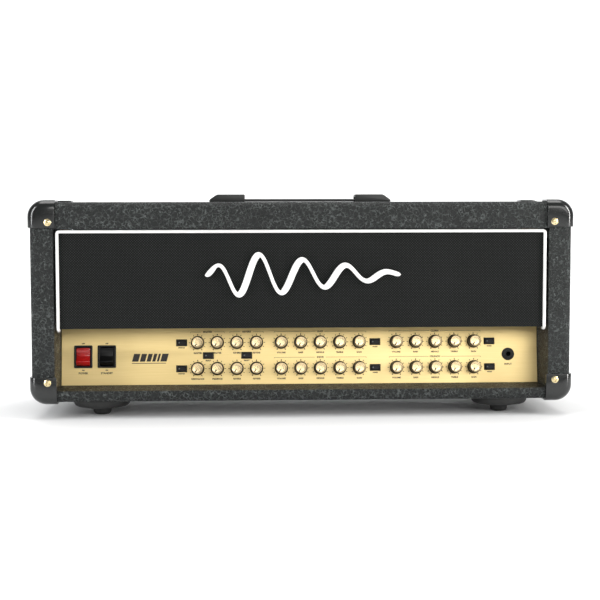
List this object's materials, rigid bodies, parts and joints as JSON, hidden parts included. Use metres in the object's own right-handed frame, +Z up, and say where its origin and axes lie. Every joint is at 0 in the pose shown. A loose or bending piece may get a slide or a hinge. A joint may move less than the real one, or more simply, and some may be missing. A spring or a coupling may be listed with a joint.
{
  "type": "guitar amplifier head",
  "caption": "Valve guitar amplifier head: vinyl-covered cabinet, cloth grille with white piping, gold control panel with knobs, push buttons and rocker switches, and a carrying handle.",
  "frame": {"origin": "under the centre of the cabinet, on the plane the feet stand on", "axes": "+X along the width, to the right as seen from the front; -Y out of the front; +Z up"},
  "size_m": [0.7532, 0.2182, 0.308],
  "materials": {
    "plywood": "sawn",
    "vinyl": "grained vinyl",
    "corner_plastic": "moulded",
    "brass_screw": "plated",
    "rubber": "matt",
    "baffle_board": "painted",
    "grille_cloth": "woven",
    "piping": "smooth",
    "emblem": "moulded",
    "gold_panel": "brushed and anodised",
    "steel_chassis": "powder coat",
    "switch_plastic": "satin",
    "plated_steel": "plated",
    "jack_plastic": "satin",
    "rear_paint": "powder coat",
    "valve_glass": "clear",
    "transformer_iron": "enamel",
    "board": "solder mask",
    "handle_plastic": "moulded",
    "strap": "grained",
    "knob": "spun cap, dark skirt",
    "button": "satin",
    "rocker_red": "translucent",
    "rocker_black": "satin"
  },
  "bodies": {
    "cabinet": {"cabinet_boards": "plywood", "vinyl_covering": "vinyl", "corner_protectors": "corner_plastic", "screws": "brass_screw", "rubber_feet": "rubber", "front_baffle": "baffle_board", "grille_cloth": "grille_cloth", "white_piping": "piping", "front_emblem": "emblem", "control_panel": "gold_panel", "chassis": "steel_chassis", "switch_housings": "switch_plastic", "potentiometers": "plated_steel", "input_jack": "jack_plastic", "rear_sockets": "jack_plastic", "rear_panel": "rear_paint", "valves": "valve_glass", "transformers": "transformer_iron", "circuit_boards": "board", "handle_end_caps": "handle_plastic"},
    "master_one_knob": {"master_one_knob": "knob"},
    "resonance_knob": {"resonance_knob": "knob"},
    "master_two_knob": {"master_two_knob": "knob"},
    "presence_knob": {"presence_knob": "knob"},
    "reverb_clean_knob": {"reverb_clean_knob": "knob"},
    "reverb_drive_knob": {"reverb_drive_knob": "knob"},
    "reverb_crunch_knob": {"reverb_crunch_knob": "knob"},
    "reverb_lead_knob": {"reverb_lead_knob": "knob"},
    "lead_volume_knob": {"lead_volume_knob": "knob"},
    "drive_volume_knob": {"drive_volume_knob": "knob"},
    "lead_bass_knob": {"lead_bass_knob": "knob"},
    "drive_bass_knob": {"drive_bass_knob": "knob"},
    "lead_middle_knob": {"lead_middle_knob": "knob"},
    "drive_middle_knob": {"drive_middle_knob": "knob"},
    "lead_treble_knob": {"lead_treble_knob": "knob"},
    "drive_treble_knob": {"drive_treble_knob": "knob"},
    "lead_gain_knob": {"lead_gain_knob": "knob"},
    "drive_gain_knob": {"drive_gain_knob": "knob"},
    "clean_volume_knob": {"clean_volume_knob": "knob"},
    "crunch_volume_knob": {"crunch_volume_knob": "knob"},
    "clean_bass_knob": {"clean_bass_knob": "knob"},
    "crunch_bass_knob": {"crunch_bass_knob": "knob"},
    "clean_middle_knob": {"clean_middle_knob": "knob"},
    "crunch_middle_knob": {"crunch_middle_knob": "knob"},
    "clean_treble_knob": {"clean_treble_knob": "knob"},
    "crunch_treble_knob": {"crunch_treble_knob": "knob"},
    "clean_gain_knob": {"clean_gain_knob": "knob"},
    "crunch_gain_knob": {"crunch_gain_knob": "knob"},
    "program_button": {"program_button": "button"},
    "footswitch_button": {"footswitch_button": "button"},
    "master_select_button": {"master_select_button": "button"},
    "reverb_button": {"reverb_button": "button"},
    "lead_mode_button": {"lead_mode_button": "button"},
    "drive_mode_button": {"drive_mode_button": "button"},
    "clean_mode_button": {"clean_mode_button": "button"},
    "crunch_mode_button": {"crunch_mode_button": "button"},
    "power_rocker": {"power_rocker": "rocker_red"},
    "standby_rocker": {"standby_rocker": "rocker_black"},
    "strap_left": {"strap_left": "strap"},
    "strap_right": {"strap_right": "strap"}
  },
  "joints": [
    {"name": "master_one_turn", "type": "hinge", "parent": "cabinet", "child": "master_one_knob", "pos_m": [-0.147, -0.03811, 0.09771], "axis": [0, 0.9903, -0.1392], "range_deg": [0, 300]},
    {"name": "resonance_turn", "type": "hinge", "parent": "cabinet", "child": "resonance_knob", "pos_m": [-0.147, -0.04323, 0.06127], "axis": [0, 0.9903, -0.1392], "range_deg": [0, 300]},
    {"name": "master_two_turn", "type": "hinge", "parent": "cabinet", "child": "master_two_knob", "pos_m": [-0.1192, -0.03811, 0.09771], "axis": [0, 0.9903, -0.1392], "range_deg": [0, 300]},
    {"name": "presence_turn", "type": "hinge", "parent": "cabinet", "child": "presence_knob", "pos_m": [-0.1192, -0.04323, 0.06127], "axis": [0, 0.9903, -0.1392], "range_deg": [0, 300]},
    {"name": "reverb_clean_turn", "type": "hinge", "parent": "cabinet", "child": "reverb_clean_knob", "pos_m": [-0.0914, -0.03811, 0.09771], "axis": [0, 0.9903, -0.1392], "range_deg": [0, 300]},
    {"name": "reverb_drive_turn", "type": "hinge", "parent": "cabinet", "child": "reverb_drive_knob", "pos_m": [-0.0914, -0.04323, 0.06127], "axis": [0, 0.9903, -0.1392], "range_deg": [0, 300]},
    {"name": "reverb_crunch_turn", "type": "hinge", "parent": "cabinet", "child": "reverb_crunch_knob", "pos_m": [-0.0636, -0.03811, 0.09771], "axis": [0, 0.9903, -0.1392], "range_deg": [0, 300]},
    {"name": "reverb_lead_turn", "type": "hinge", "parent": "cabinet", "child": "reverb_lead_knob", "pos_m": [-0.0636, -0.04323, 0.06127], "axis": [0, 0.9903, -0.1392], "range_deg": [0, 300]},
    {"name": "lead_volume_turn", "type": "hinge", "parent": "cabinet", "child": "lead_volume_knob", "pos_m": [-0.0284, -0.03811, 0.09771], "axis": [0, 0.9903, -0.1392], "range_deg": [0, 300]},
    {"name": "drive_volume_turn", "type": "hinge", "parent": "cabinet", "child": "drive_volume_knob", "pos_m": [-0.0284, -0.04323, 0.06127], "axis": [0, 0.9903, -0.1392], "range_deg": [0, 300]},
    {"name": "lead_bass_turn", "type": "hinge", "parent": "cabinet", "child": "lead_bass_knob", "pos_m": [-0.0006, -0.03811, 0.09771], "axis": [0, 0.9903, -0.1392], "range_deg": [0, 300]},
    {"name": "drive_bass_turn", "type": "hinge", "parent": "cabinet", "child": "drive_bass_knob", "pos_m": [-0.0006, -0.04323, 0.06127], "axis": [0, 0.9903, -0.1392], "range_deg": [0, 300]},
    {"name": "lead_middle_turn", "type": "hinge", "parent": "cabinet", "child": "lead_middle_knob", "pos_m": [0.0272, -0.03811, 0.09771], "axis": [0, 0.9903, -0.1392], "range_deg": [0, 300]},
    {"name": "drive_middle_turn", "type": "hinge", "parent": "cabinet", "child": "drive_middle_knob", "pos_m": [0.0272, -0.04323, 0.06127], "axis": [0, 0.9903, -0.1392], "range_deg": [0, 300]},
    {"name": "lead_treble_turn", "type": "hinge", "parent": "cabinet", "child": "lead_treble_knob", "pos_m": [0.055, -0.03811, 0.09771], "axis": [0, 0.9903, -0.1392], "range_deg": [0, 300]},
    {"name": "drive_treble_turn", "type": "hinge", "parent": "cabinet", "child": "drive_treble_knob", "pos_m": [0.055, -0.04323, 0.06127], "axis": [0, 0.9903, -0.1392], "range_deg": [0, 300]},
    {"name": "lead_gain_turn", "type": "hinge", "parent": "cabinet", "child": "lead_gain_knob", "pos_m": [0.0828, -0.03811, 0.09771], "axis": [0, 0.9903, -0.1392], "range_deg": [0, 300]},
    {"name": "drive_gain_turn", "type": "hinge", "parent": "cabinet", "child": "drive_gain_knob", "pos_m": [0.0828, -0.04323, 0.06127], "axis": [0, 0.9903, -0.1392], "range_deg": [0, 300]},
    {"name": "clean_volume_turn", "type": "hinge", "parent": "cabinet", "child": "clean_volume_knob", "pos_m": [0.1359, -0.03811, 0.09771], "axis": [0, 0.9903, -0.1392], "range_deg": [0, 300]},
    {"name": "crunch_volume_turn", "type": "hinge", "parent": "cabinet", "child": "crunch_volume_knob", "pos_m": [0.1359, -0.04323, 0.06127], "axis": [0, 0.9903, -0.1392], "range_deg": [0, 300]},
    {"name": "clean_bass_turn", "type": "hinge", "parent": "cabinet", "child": "clean_bass_knob", "pos_m": [0.1637, -0.03811, 0.09771], "axis": [0, 0.9903, -0.1392], "range_deg": [0, 300]},
    {"name": "crunch_bass_turn", "type": "hinge", "parent": "cabinet", "child": "crunch_bass_knob", "pos_m": [0.1637, -0.04323, 0.06127], "axis": [0, 0.9903, -0.1392], "range_deg": [0, 300]},
    {"name": "clean_middle_turn", "type": "hinge", "parent": "cabinet", "child": "clean_middle_knob", "pos_m": [0.1915, -0.03811, 0.09771], "axis": [0, 0.9903, -0.1392], "range_deg": [0, 300]},
    {"name": "crunch_middle_turn", "type": "hinge", "parent": "cabinet", "child": "crunch_middle_knob", "pos_m": [0.1915, -0.04323, 0.06127], "axis": [0, 0.9903, -0.1392], "range_deg": [0, 300]},
    {"name": "clean_treble_turn", "type": "hinge", "parent": "cabinet", "child": "clean_treble_knob", "pos_m": [0.2193, -0.03811, 0.09771], "axis": [0, 0.9903, -0.1392], "range_deg": [0, 300]},
    {"name": "crunch_treble_turn", "type": "hinge", "parent": "cabinet", "child": "crunch_treble_knob", "pos_m": [0.2193, -0.04323, 0.06127], "axis": [0, 0.9903, -0.1392], "range_deg": [0, 300]},
    {"name": "clean_gain_turn", "type": "hinge", "parent": "cabinet", "child": "clean_gain_knob", "pos_m": [0.2471, -0.03811, 0.09771], "axis": [0, 0.9903, -0.1392], "range_deg": [0, 300]},
    {"name": "crunch_gain_turn", "type": "hinge", "parent": "cabinet", "child": "crunch_gain_knob", "pos_m": [0.2471, -0.04323, 0.06127], "axis": [0, 0.9903, -0.1392], "range_deg": [0, 300]},
    {"name": "program_press", "type": "slide", "parent": "cabinet", "child": "program_button", "axis": [0, 0.9903, -0.1392], "range_m": [0, 0.0018], "stiffness_N_per_m": 400, "springref_m": -0.001},
    {"name": "footswitch_press", "type": "slide", "parent": "cabinet", "child": "footswitch_button", "axis": [0, 0.9903, -0.1392], "range_m": [0, 0.0018], "stiffness_N_per_m": 400, "springref_m": -0.001},
    {"name": "master_select_press", "type": "slide", "parent": "cabinet", "child": "master_select_button", "axis": [0, 0.9903, -0.1392], "range_m": [0, 0.0018], "stiffness_N_per_m": 400, "springref_m": -0.001},
    {"name": "reverb_press", "type": "slide", "parent": "cabinet", "child": "reverb_button", "axis": [0, 0.9903, -0.1392], "range_m": [0, 0.0018], "stiffness_N_per_m": 400, "springref_m": -0.001},
    {"name": "lead_mode_press", "type": "slide", "parent": "cabinet", "child": "lead_mode_button", "axis": [0, 0.9903, -0.1392], "range_m": [0, 0.0018], "stiffness_N_per_m": 400, "springref_m": -0.001},
    {"name": "drive_mode_press", "type": "slide", "parent": "cabinet", "child": "drive_mode_button", "axis": [0, 0.9903, -0.1392], "range_m": [0, 0.0018], "stiffness_N_per_m": 400, "springref_m": -0.001},
    {"name": "clean_mode_press", "type": "slide", "parent": "cabinet", "child": "clean_mode_button", "axis": [0, 0.9903, -0.1392], "range_m": [0, 0.0018], "stiffness_N_per_m": 400, "springref_m": -0.001},
    {"name": "crunch_mode_press", "type": "slide", "parent": "cabinet", "child": "crunch_mode_button", "axis": [0, 0.9903, -0.1392], "range_m": [0, 0.0018], "stiffness_N_per_m": 400, "springref_m": -0.001},
    {"name": "power_rock", "type": "hinge", "parent": "cabinet", "child": "power_rocker", "pos_m": [-0.3084, -0.03777, 0.07858], "axis": [1, 0, 0], "range_deg": [0, 22]},
    {"name": "standby_rock", "type": "hinge", "parent": "cabinet", "child": "standby_rocker", "pos_m": [-0.2753, -0.03777, 0.07858], "axis": [1, 0, 0], "range_deg": [0, 22]},
    {"name": "strap_lift", "type": "hinge", "parent": "cabinet", "child": "strap_left", "pos_m": [-0.086, 0, 0.2995], "axis": [0, -1, 0], "range_deg": [0, 13]},
    {"name": "strap_bend", "type": "hinge", "parent": "strap_left", "child": "strap_right", "pos_m": [0, 0, 0.2976], "axis": [0, 1, 0], "range_deg": [0, 26]}
  ],
  "couplings": [
    {"joint": "strap_bend", "follows": "strap_lift", "ratio": 2}
  ]
}
